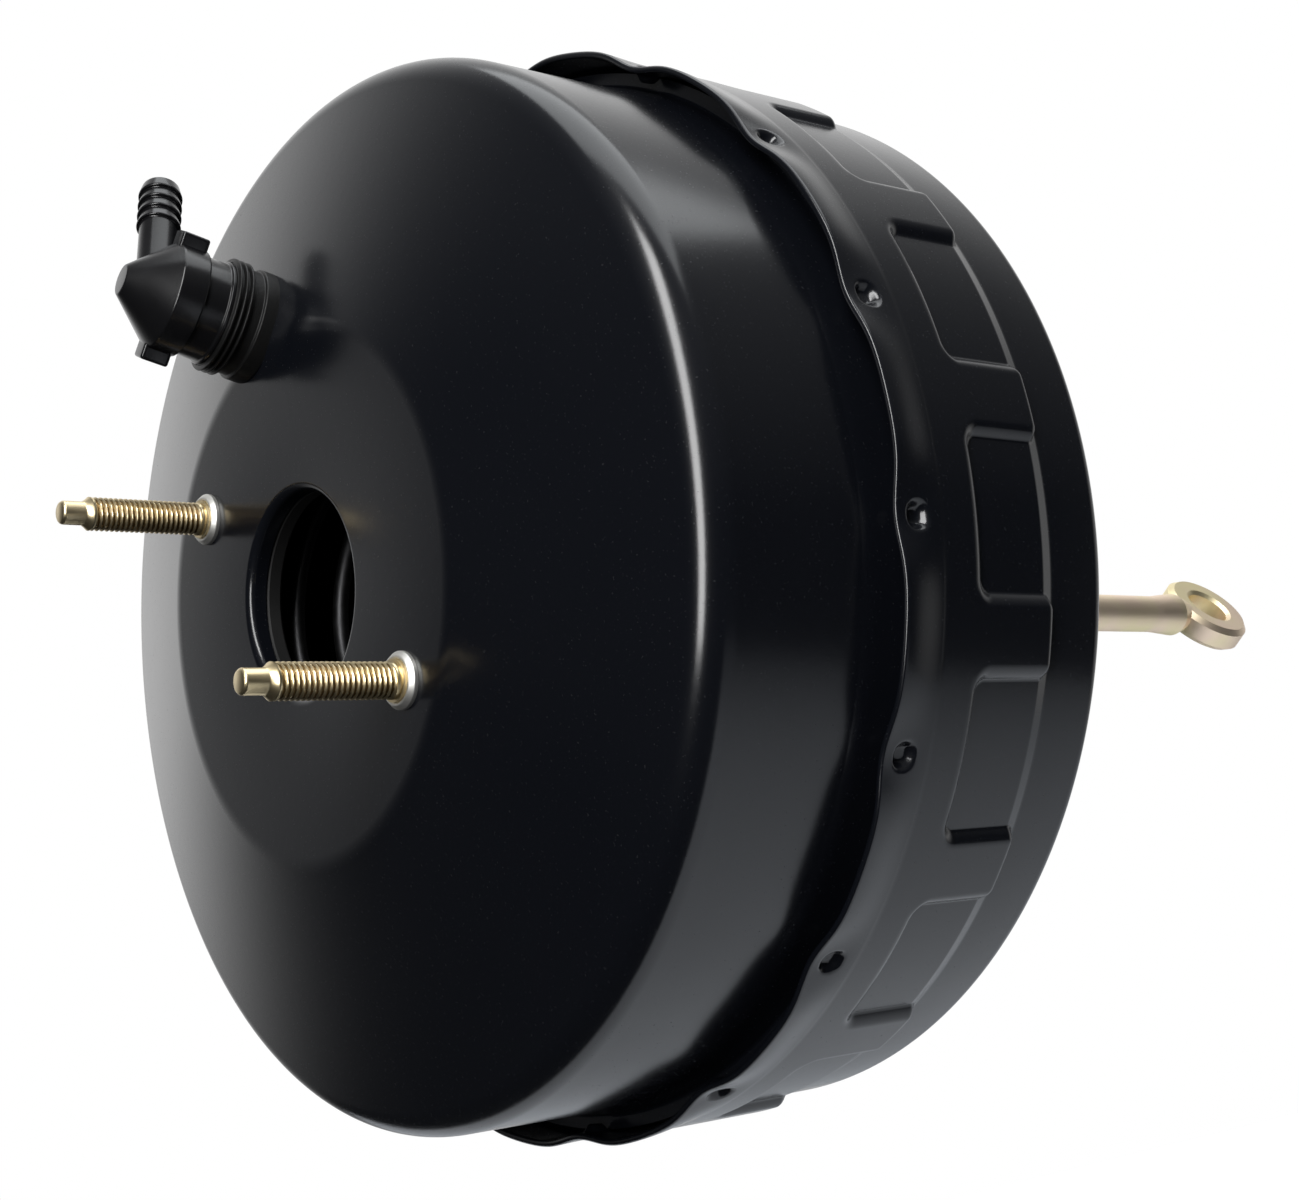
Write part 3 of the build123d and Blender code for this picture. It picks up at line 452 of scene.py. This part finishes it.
def rear_radius(x, angle, base):
    """Outer radius of the rear shell, with its pockets, lances and wavy lip."""
    aside = nearest(angle, POCKETS, math.pi / POCKETS) * RING_R
    pocket = box_distance(aside, x - POCKET_X - POCKET_LENGTH / 2, POCKET_HALF_WIDTH,
                          POCKET_LENGTH / 2, POCKET_CORNER)
    before_foot = STEP_FOOT_X - x
    ramp = min(max((before_foot + RAMP_PAST_FOOT) / POCKET_RAMP, 0.0), 1.0)
    pocket_floor = RING_R + POCKET_RISE * ramp
    share = wall(both(pocket, before_foot, TOOTH_CORNER), WALL_RUN)
    base = pocket_floor + max(base - pocket_floor, 0.0) * share
    lance_aside = nearest(angle, LANCES, math.pi / LANCES) * LAND_R
    dip = math.exp(-((lance_aside / WAVE_WIDTH) ** 2))
    near_lip = 1 - ease(LIP_X, LIP_X + WAVE_RUN, x)
    base += near_lip * (0.1 - WAVE_DEPTH * dip)
    hollow = box_distance(lance_aside, x - LANCE_X, LANCE_HALF_WIDTH, LANCE_HALF_LENGTH, LANCE_CORNER)
    return base - LANCE_DEPTH * (1 - ease(-1.2, 0.9, hollow))


def steps(low, high, count):
    return [low + (high - low) * index / count for index in range(count + 1)]


def land_radius(x):
    return LAND_R + (LIP_R - LAND_R) * (1 - ease(LIP_X, LIP_X + LIP_RUN, x))


rear_stations = [(x, land_radius(x) - SHELL_T) for x in steps(LIP_X + 16, LIP_X + 0.5, 30)]
rear_stations += [(LIP_X + 0.1, LIP_R - SHELL_T + 0.3), (LIP_X, LIP_R - 0.75), (LIP_X + 0.1, LIP_R - 0.3)]
rear_stations += [(x, land_radius(x)) for x in steps(LIP_X + 0.5, LIP_X + 12, 26)]
rear_stations += [(x, LAND_R) for x in steps(LIP_X + 12.5, POCKET_X - 2, 12)]
rear_stations += [(x, LAND_R) for x in steps(POCKET_X - 1.6, POCKET_X + 5.5, 22)]
rear_stations += [(x, LAND_R) for x in steps(POCKET_X + 6, STEP_X - 6, 10)]
rear_stations += [(x, LAND_R) for x in steps(STEP_X - 5.5, STEP_X + 1.4, 20)]
PAD_R = 64.0
NECK_R = 27.0
NECK_X = 28.0
NECK_BORE_R = NECK_R - SHELL_T
shoulder = rounded([
    (STEP_X + 2.0, RING_R, 0),
    (REAR_X, RING_R, 4.0),
    (REAR_X + 5.0, PAD_R + 11.0, 5.0),
    (0.0, PAD_R, 5.0),
    (0.0, NECK_R, 4.0),
    (NECK_X, NECK_R, 1.4),
    (NECK_X, NECK_BORE_R - 1.0, 0),
])
rear_stations += [(x, RING_R) for x in steps(STEP_X + 1.8, STEP_X + 5.0, 5)]
rear_stations += [tuple(point) for point in shoulder[1:]]
rear_stations += [(NECK_X - SHELL_T, NECK_BORE_R - 1.0), (NECK_X - SHELL_T, NECK_BORE_R),
                  (-SHELL_T, NECK_BORE_R), (-SHELL_T, PAD_R - 1.0)]
rear_corners = []
for x, r in rear_stations:
    for step in range(COLUMNS):
        angle = 2 * math.pi * step / COLUMNS
        far = rear_radius(x, angle, r) if r > RING_R - 0.01 and x < STEP_X + 4 else r
        rear_corners.append((x, -far * math.cos(angle), far * math.sin(angle)))
rear_faces = []
for row in range(len(rear_stations) - 1):
    for step in range(COLUMNS):
        aside = (step + 1) % COLUMNS
        rear_faces.append((row * COLUMNS + step, row * COLUMNS + aside,
                           (row + 1) * COLUMNS + aside, (row + 1) * COLUMNS + step))
piece("rear_shell_skin", rear_corners, rear_faces, paint, "root", ["rear_shell"], sharp=60)


# Master cylinder studs: rolled M8 thread with a plain dog point, steel under yellow zinc, each
# swaged into the plateau through a bright collar.
def zinc(name, warm, cool, tint, roughness, grain):
    """Plated steel: a warm metal whose film shifts in hue from place to place."""
    nodes = finish(name, warm, roughness, 1.0)
    film = noise(nodes, 90, 3)
    patches = noise(nodes, 45, 2)
    mixed_film = ((film - 0.42) * 2).above(0.0).below(1.0)
    first = blend_colours(nodes, mixed_film, warm, cool)
    share = ((patches - 0.45) * 3).above(0.0).below(0.5)
    second = nodes.add("Mix", {"data_type": "RGBA"}, {0: share, 6: first, 7: (*tint, 1)}, 2)
    drive(nodes, "Base Color", second)
    drive(nodes, "Roughness", film * 0.1 + (roughness - 0.05))
    relief(nodes, noise(nodes, 900, 2), grain, 0.00002)
    return nodes.material


gold_zinc = zinc("yellow_zinc_on_steel", (0.80, 0.66, 0.40), (0.86, 0.75, 0.52), (0.74, 0.60, 0.38),
                 roughness=0.32, grain=0.15)
# The thread roots take a darker zinc: painted shade in the grooves, partly standing for oil in the roots.
thread_root_shade_zinc = zinc("yellow_zinc_painted_shade_in_thread", (0.20, 0.13, 0.05), (0.30, 0.20, 0.08), (0.24, 0.15, 0.07),
                   roughness=0.4, grain=0.2)
clear_zinc = zinc("clear_zinc_on_steel", (0.84, 0.83, 0.79), (0.72, 0.71, 0.68), (0.88, 0.86, 0.80),
                  roughness=0.48, grain=0.3)

STUD_PLACES = [(46.0, 15.6), (-46.0, -15.6)]
STUD_R = 4.0
STUD_SHANK_R = 4.55
STUD_HEAD_R = 7.0
STUD_HEAD_T = 3.0
STUD_PLATE_T = 2.0
STUD_HEAD_X = FRONT_X + SHELL_T + STUD_PLATE_T
STUD_TIP_X = FRONT_X - 37.7
DOG_R = 2.8
THREAD_PITCH = 1.25
THREAD_DEPTH = 0.62


def screw(name, x0, x1, radius, material, body, at, ends, around=40, per_turn=12):
    """A bar with a helical thread between two stations, closed by plain end outlines."""
    head, tail = ends
    rows = [(x, r, False) for x, r in head]
    count = int((x1 - x0) / THREAD_PITCH * per_turn)
    for x in steps(x0, x1, count):
        rows.append((x, radius, True))
    rows += [(x, r, False) for x, r in tail]
    corners = []
    for x, r, cut in rows:
        for step in range(around):
            share = step / around
            depth = 0.0
            if cut:
                phase = ((x - x0) / THREAD_PITCH - share) % 1.0
                groove = min(max(abs(phase - 0.5) * 2.5 - 0.2, 0.0), 1.0)
                fade = ease(x0, x0 + THREAD_PITCH, x) * (1 - ease(x1 - THREAD_PITCH, x1, x))
                depth = THREAD_DEPTH * (1 - groove) * fade
            angle = 2 * math.pi * share
            far = max(r - depth, 0.001)
            corners.append((x, at[0] + far * math.cos(angle), at[1] + far * math.sin(angle)))
    faces = []
    for row in range(len(rows) - 1):
        for step in range(around):
            aside = (step + 1) % around
            faces.append((row * around + step, row * around + aside,
                          (row + 1) * around + aside, (row + 1) * around + step))
    bar = piece(name, corners, faces, material, body, sharp=35)
    # Faces deep in the thread take the darker zinc, which paints shade into the roots.
    bar.data.materials.append(thread_root_shade_zinc)
    for face in bar.data.polygons:
        far = math.hypot(face.center.y / MM - at[0], face.center.z / MM - at[1])
        if x0 < face.center.x / MM < x1 and far < radius - 0.6 * THREAD_DEPTH:
            face.material_index = 1
    return bar


stud_point = [
    (STUD_TIP_X, 0.001),
    (STUD_TIP_X, DOG_R - 0.7),
    (STUD_TIP_X + 0.15, DOG_R - 0.4),
    (STUD_TIP_X + 0.5, DOG_R - 0.1),
    (STUD_TIP_X + 0.8, DOG_R),
    (STUD_TIP_X + 5.4, DOG_R),
    (STUD_TIP_X + 5.7, DOG_R + 0.15),
    (STUD_TIP_X + 6.8, STUD_R - 0.25),
]
stud_head = [
    (FRONT_X - 2.6, STUD_R),
    (FRONT_X - 2.6, STUD_SHANK_R),
    (STUD_HEAD_X, STUD_SHANK_R),
    (STUD_HEAD_X, STUD_HEAD_R),
    (STUD_HEAD_X + STUD_HEAD_T, STUD_HEAD_R),
    (STUD_HEAD_X + STUD_HEAD_T, 0.001),
]
for number, place in enumerate(STUD_PLACES):
    stud = screw("front_stud_%d" % (number + 1), STUD_TIP_X + 7.0, FRONT_X - 3.0, STUD_R, gold_zinc, "root",
                 place, (stud_point, stud_head))
    collar_outline = rounded([
        (FRONT_X - 0.05, 4.6, 0),
        (FRONT_X - 0.05, 6.2, 0.0),
        (FRONT_X - 0.9, 6.2, 0.4),
        (FRONT_X - 1.95, 5.3, 0.5),
        (FRONT_X - 1.95, 4.9, 0.2),
        (FRONT_X - 1.7, 4.6, 0),
    ])
    collar = lathe("stud_collar_%d" % (number + 1), collar_outline, clear_zinc, "root",
                   around=64, at=place)
    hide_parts("stud_collars")
    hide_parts("master_cylinder_studs")


# Front seal and the inside: black rubber ring behind the hole's rolled edge, and behind it the
# pressed plates and the return spring, in dull, oiled steel darkened far below bare steel: painted shade for
# the dark inside.
def rubber(name, colour, roughness, grain):
    nodes = finish(name, colour, roughness, **{"Specular IOR Level": 0.3})
    cloud = noise(nodes, 60, 3)
    drive(nodes, "Roughness", cloud * 0.14 + (roughness - 0.07))
    bloom = ((cloud - 0.5) * 2.5).above(0.0).below(1.0)
    greyed = tuple(c * 1.8 + 0.004 for c in colour)
    drive(nodes, "Base Color", blend_colours(nodes, bloom * 0.5, colour, greyed))
    relief(nodes, noise(nodes, 1400, 2), grain, 0.0001)
    return nodes.material


def drawn_steel(name, colour, roughness):
    nodes = finish(name, colour, roughness, 1.0)
    streaks = noise(nodes, 300, 3)
    drive(nodes, "Roughness", streaks * 0.22 + (roughness - 0.1))
    drive(nodes, "Base Color", blend_colours(nodes, streaks, tuple(c * 0.7 for c in colour), colour))
    relief(nodes, streaks, 0.15, 0.0001)
    return nodes.material


seal_rubber = rubber("seal_rubber", (0.007, 0.007, 0.007), 0.6, 0.15)
mould_rubber = rubber("mould_rubber", (0.005, 0.005, 0.005), 0.42, 0.4)
# Painted shade: both steels are darkened far below bare steel, so the inside of the booster stays dark.
pressed_steel_in_painted_shade = drawn_steel("pressed_steel_in_painted_shade", (0.08, 0.08, 0.08), 0.5)
spring_wire_in_painted_shade = drawn_steel("spring_wire_in_painted_shade", (0.05, 0.05, 0.052), 0.45)


def phenolic():
    nodes = finish("phenolic_resin", (0.03, 0.02, 0.014), 0.38)
    fibres = noise(nodes, 700, 4, 0.7)
    drive(nodes, "Base Color", blend_colours(nodes, ((fibres - 0.45) * 6).above(0.0).below(1.0),
                                             (0.022, 0.015, 0.011), (0.06, 0.04, 0.028)))
    drive(nodes, "Roughness", fibres * 0.2 + 0.3)
    relief(nodes, fibres, 0.2, 0.00008)
    return nodes.material


def foam():
    nodes = finish("filter_foam", (0.06, 0.06, 0.06), 0.95)
    cells = nodes.add("TexVoronoi", {}, {"Vector": nodes.place, "Scale": 900})
    drive(nodes, "Base Color", blend_colours(nodes, cells * 1.6, (0.01, 0.01, 0.01), (0.11, 0.11, 0.105)))
    relief(nodes, cells, 0.9, 0.0005)
    return nodes.material


resin = phenolic()
filter_foam = foam()
inner_finishes = {
    seal_rubber: ["front_seal", "divider_seal", "rear_seal", "reaction_disc", "primary_diaphragm",
                  "secondary_diaphragm", "check_valve_disc", "poppet"],
    pressed_steel_in_painted_shade: ["stud_plate", "rear_plate", "divider", "primary_plate", "secondary_plate",
                    "output_rod", "output_rod_retainer", "plunger", "plunger_key", "poppet_retainer"],
    spring_wire_in_painted_shade: ["poppet_spring", "rod_return_spring"],
    resin: ["valve_body", "filter_retainer", "rear_bush"],
    filter_foam: ["air_filter"],
}
for material, names in inner_finishes.items():
    for name in names:
        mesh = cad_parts[name].data
        mesh.materials.clear()
        mesh.materials.append(material)


def coil(name, x0, x1, radii, wire, turns, place):
    """A round-wire spring with ground ends."""
    around = 14
    rows = int(turns * 48)
    corners = []
    for row in range(rows + 1):
        share = row / rows
        angle = 2 * math.pi * turns * share
        for step in range(around):
            swing = 2 * math.pi * step / around
            x = x0 + (x1 - x0) * share + wire * math.sin(swing)
            far = radii[0] + (radii[1] - radii[0]) * share + wire * math.cos(swing)
            corners.append((min(max(x, x0), x1), far * math.sin(angle), -far * math.cos(angle)))
    faces = [tuple(range(around)), tuple(range(rows * around, (rows + 1) * around))]
    for row in range(rows):
        for step in range(around):
            aside = (step + 1) % around
            faces.append((row * around + step, row * around + aside,
                          (row + 1) * around + aside, (row + 1) * around + step))
    spring = piece(name + "_wire", corners, faces, spring_wire_in_painted_shade, None, [name])
    spring.data.transform(place)
    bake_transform(spring)


spring_low, spring_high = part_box("return_spring")
coil("return_spring", spring_low[0] / MM, spring_high[0] / MM, radii=(34.0, 27.5), wire=2.0, turns=5.5,
     place=Matrix.Identity(4))


# Check valve: glass-filled nylon, moulded in two halves that are welded together, pushed into a
# ribbed rubber grommet in the dome. The cap's cone carries the ridged hose barb and two lugs.
DOME_SLOPE = DOME_FALL / (DRUM_R - PLATEAU_R)
VALVE_AT = Vector((0, 32.0, 61.7))
VALVE_AT.x = FRONT_X + DOME_SLOPE * (VALVE_AT.length - PLATEAU_R)
VALVE_LEAN = math.atan(DOME_SLOPE)
VALVE_PAD_PROUD = 0.3
sideways = Vector((0, VALVE_AT.z, -VALVE_AT.y)).normalized()
on_dome = Matrix.Translation(VALVE_AT * MM) @ Matrix.Rotation(VALVE_LEAN, 4, sideways)
on_dome = on_dome @ Matrix.Translation((-VALVE_PAD_PROUD * MM, 0, 0))


def nylon():
    nodes = finish("black_nylon", (0.005, 0.005, 0.006), 0.24)
    grain = noise(nodes, 1100, 3)
    flow = noise(nodes, 90, 2)
    drive(nodes, "Roughness", flow * 0.14 + 0.15)
    drive(nodes, "Base Color", blend_colours(nodes, flow, (0.004, 0.004, 0.0045), (0.007, 0.007, 0.008)))
    relief(nodes, grain, 0.14, 0.00006)
    return nodes.material


black_nylon = nylon()
GROMMET_X = -9.6
GROMMET_R = 12.8
GROMMET_RIB_R = 13.9
GROMMET_BORE_R = 7.05
grommet_outline = [(GROMMET_X, GROMMET_BORE_R, 0), (GROMMET_X, GROMMET_R, 0.4)]
for rib_x in (-9.5, -8.0, -6.5):
    grommet_outline += [
        (rib_x, GROMMET_R, 0.1),
        (rib_x + 0.2, GROMMET_RIB_R, 0.25),
        (rib_x + 0.7, GROMMET_RIB_R, 0.25),
        (rib_x + 0.95, GROMMET_R, 0.15),
    ]
grommet_outline += [
    (-2.6, GROMMET_R, 0.3),
    (-2.6, 13.6, 0.4),
    (-0.3, 13.6, 0.3),
    (1.5, 13.6, 0.2),
    (1.5, GROMMET_BORE_R, 0),
]
grommet = lathe("check_valve_grommet_skin", rounded(grommet_outline), mould_rubber, "root",
                ["check_valve_grommet"], around=96)
JOINT_X = -16.1
SEAT_X = -12.0
BODY_R = 12.0
CHAMBER_R = 10.2
SPIGOT_R = 6.9
SPIGOT_BORE_R = 4.0
body_outline = rounded([
    (8.0, SPIGOT_BORE_R, 0),
    (8.0, SPIGOT_R, 0.6),
    (GROMMET_X, SPIGOT_R, 0),
    (GROMMET_X, BODY_R + 0.6, 0.3),
    (GROMMET_X - 1.0, BODY_R + 0.6, 0.3),
    (GROMMET_X - 1.0, BODY_R, 0.3),
    (JOINT_X, BODY_R, 0),
    (JOINT_X, CHAMBER_R, 0),
    (SEAT_X, CHAMBER_R, 0),
    (SEAT_X, SPIGOT_BORE_R, 0),
])
valve_body_skin = lathe("check_valve_body_skin", body_outline, black_nylon, "root",
                        ["check_valve_body"], around=96)
CAP_R = 13.0
CAP_SHOULDER_X = -22.5
CAP_TIP_X = -32.7
CHAMBER_X = -20.2
cap_outline = rounded([
    (JOINT_X, CHAMBER_R, 0),
    (JOINT_X, CAP_R, 0.5),
    (CAP_SHOULDER_X, CAP_R, 0.8),
    (CAP_TIP_X, 3.6, 0.8),
    (CAP_TIP_X, 0.01, 0),
    (CHAMBER_X, 0.01, 0),
    (CHAMBER_X, CHAMBER_R, 0),
])
cap = lathe("check_valve_cap", cap_outline, black_nylon, "root", ["check_valve_elbow"],
            around=96)
BARB_AHEAD = 8.42
BARB_X = JOINT_X - BARB_AHEAD
BARB_LEAN = math.radians(-35)
BARB_R = 4.5
BARB_RIDGE_R = 5.2
BARB_RIDGES = 4
BARB_PITCH = 3.35
BARB_END = 33.9
BARB_BORE_R = 2.6
barb_outline = [(6.0, 0.01, 0), (6.0, BARB_R, 0), (20.6, BARB_R, 0.3)]
for ridge in range(BARB_RIDGES):
    foot = 20.5 + BARB_PITCH * ridge
    barb_outline += [
        (foot, BARB_RIDGE_R - 0.05, 0.25),
        (foot + 0.5, BARB_RIDGE_R, 0.25),
        (foot + 3.2, BARB_R, 0.2),
    ]
barb_outline += [(BARB_END, 4.1, 0.6), (BARB_END, BARB_BORE_R, 0), (26.0, BARB_BORE_R, 0), (26.0, 0.01, 0)]
barb = lathe("check_valve_barb", rounded(barb_outline), black_nylon, "root", around=72)
barb_turn = Matrix.Translation((BARB_X * MM, 0, 0)) @ Matrix.Rotation(BARB_LEAN, 4, "X")
barb.data.transform(barb_turn @ Matrix.Rotation(math.radians(-90), 4, "Y"))


LUG_SIZE = (0.0067, 0.0063, 0.0045)
LUG_AT = (-0.0201, 0, 0.01335)
LUG_ANGLE = 11


def lug(number, angle):
    """A moulded lug on the cap, with its edges eased."""
    mesh = bpy.data.meshes.new("check_valve_lug_%d" % number)
    block = bmesh.new()
    bmesh.ops.create_cube(block, size=1.0)
    bmesh.ops.scale(block, vec=LUG_SIZE, verts=block.verts)
    bmesh.ops.bevel(block, geom=block.edges[:], offset=0.0008, segments=4, profile=0.6, affect="EDGES")
    block.to_mesh(mesh)
    block.free()
    place = Matrix.Rotation(math.radians(angle), 4, "X") @ Matrix.Translation(LUG_AT)
    mesh.transform(on_dome @ place)
    mesh.shade_smooth()
    mesh.set_sharp_from_angle(angle=math.radians(40))
    mesh.materials.append(black_nylon)
    thing = bpy.data.objects.new(mesh.name, mesh)
    bpy.context.collection.objects.link(thing)
    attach(thing, "root")


for part in (grommet, valve_body_skin, cap, barb):
    part.data.transform(on_dome)
lug(1, LUG_ANGLE)
lug(2, LUG_ANGLE + 180)
coil("check_valve_spring", -20.12, -13.82, radii=(3.4, 3.4), wire=0.4, turns=3.5, place=on_dome)


# Pedal rod: forged steel with a hammered surface under a pale warm zinc film. The eye is struck
# flat and rolled about the rod, and its hole is drilled through.
rod_zinc = zinc("warm_zinc_on_forging", (0.95, 0.77, 0.60), (0.96, 0.83, 0.60), (0.87, 0.82, 0.42),
                roughness=0.45, grain=0.5)
rod_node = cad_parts["input_rod"]
rod_node.data.materials.clear()
rod_node.data.materials.append(rod_zinc)


# Dust boot: soft black rubber over the neck and the rear tube, with folds.
BOOT_CUFF_R = 28.4
BOOT_TUBE_R = 20.4
BOOT_T = 1.35
BOOT_START_X = 17.0
BOOT_END_X = 58.0
FOLDS = 5
FOLD_PITCH = 8.2
FOLD_CREST_R = 35.0
FOLD_ROOT_R = 29.5
FOLD_TAPER = 1.2
boot_corners = [(8.0, BOOT_CUFF_R, 0), (16.0, BOOT_CUFF_R, 1.0)]
for fold in range(FOLDS):
    start = BOOT_START_X + FOLD_PITCH * fold
    drop = FOLD_TAPER * fold
    boot_corners.append((start + 0.35 * FOLD_PITCH, FOLD_CREST_R - drop, 1.4))
    boot_corners.append((start + 0.65 * FOLD_PITCH, FOLD_CREST_R - drop, 1.4))
    if fold < FOLDS - 1:
        boot_corners.append((start + FOLD_PITCH, max(FOLD_ROOT_R - 1.7 * drop, BOOT_TUBE_R), 1.0))
boot_corners += [(BOOT_END_X, BOOT_TUBE_R, 1.0), (65.8, BOOT_TUBE_R, 0)]
boot = lathe("dust_boot_skin", walled(rounded(boot_corners), BOOT_T), mould_rubber, None,
             ["dust_boot"], around=96)
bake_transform(boot)


# Firewall studs: four M8 studs of the same yellow zinc as the front ones. Their heads are welded
# to the plate behind the pad, and their threads reach through the car's firewall.
FIRE_HEAD_X = -6.0
FIRE_HEAD_R = 8.0
FIRE_STUD_END = 24.0
fire_head = [
    (FIRE_HEAD_X, 0.001),
    (FIRE_HEAD_X, FIRE_HEAD_R),
    (FIRE_HEAD_X + STUD_HEAD_T, FIRE_HEAD_R),
    (FIRE_HEAD_X + STUD_HEAD_T, STUD_SHANK_R),
    (-0.05, STUD_SHANK_R),
    (-0.05, STUD_R),
]
fire_point = [
    (FIRE_STUD_END - 0.8, STUD_R - 0.4),
    (FIRE_STUD_END, STUD_R - 1.1),
    (FIRE_STUD_END, 0.001),
]
for number, place in enumerate([(40, 35), (-40, 35), (-40, -35), (40, -35)]):
    stud = screw("rear_stud_%d" % (number + 1), 1.0, FIRE_STUD_END - 1.2, STUD_R, gold_zinc, "root",
                 place, (fire_head, fire_point))
    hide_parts("firewall_studs")
